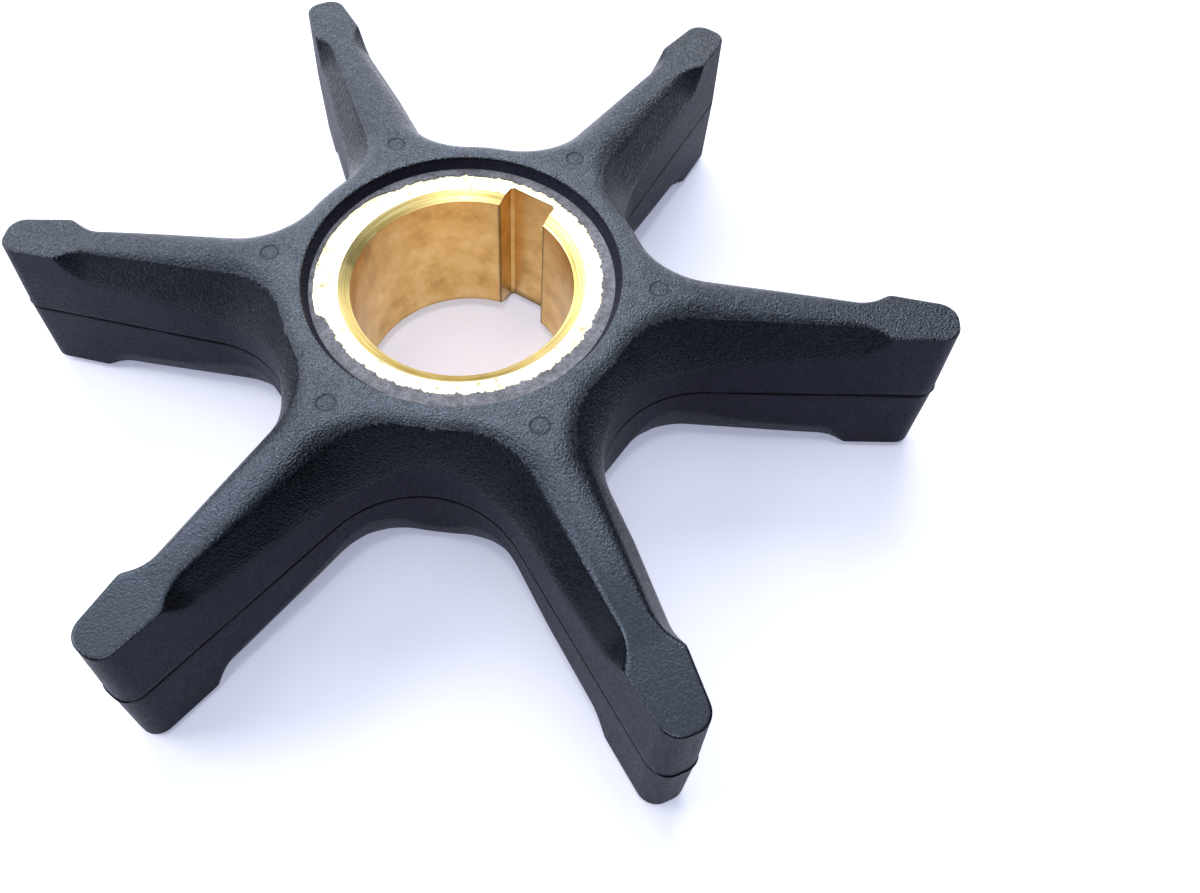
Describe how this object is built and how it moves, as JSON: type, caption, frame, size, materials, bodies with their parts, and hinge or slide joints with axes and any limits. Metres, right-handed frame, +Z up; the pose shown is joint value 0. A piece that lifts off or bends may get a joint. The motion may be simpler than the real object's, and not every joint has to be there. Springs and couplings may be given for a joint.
{
  "type": "flexible pump impeller",
  "caption": "Flexible rubber pump impeller: a hub with radial blades that swell to pads at their tips, bonded round a brass bushing with a keyway in its bore.",
  "frame": {"origin": "on the bore axis, in the plane that the impeller rests on", "axes": "+Z up along the bore axis; +Y along one blade, the one that the keyway lies beside"},
  "size_m": [0.0598, 0.0682, 0.0145],
  "materials": {
    "rubber": "matte with a fine pebbled mould grain",
    "brass": "machined, satin"
  },
  "bodies": {
    "root": {"rubber_body": "rubber", "brass_bushing": "brass"}
  },
  "joints": []
}
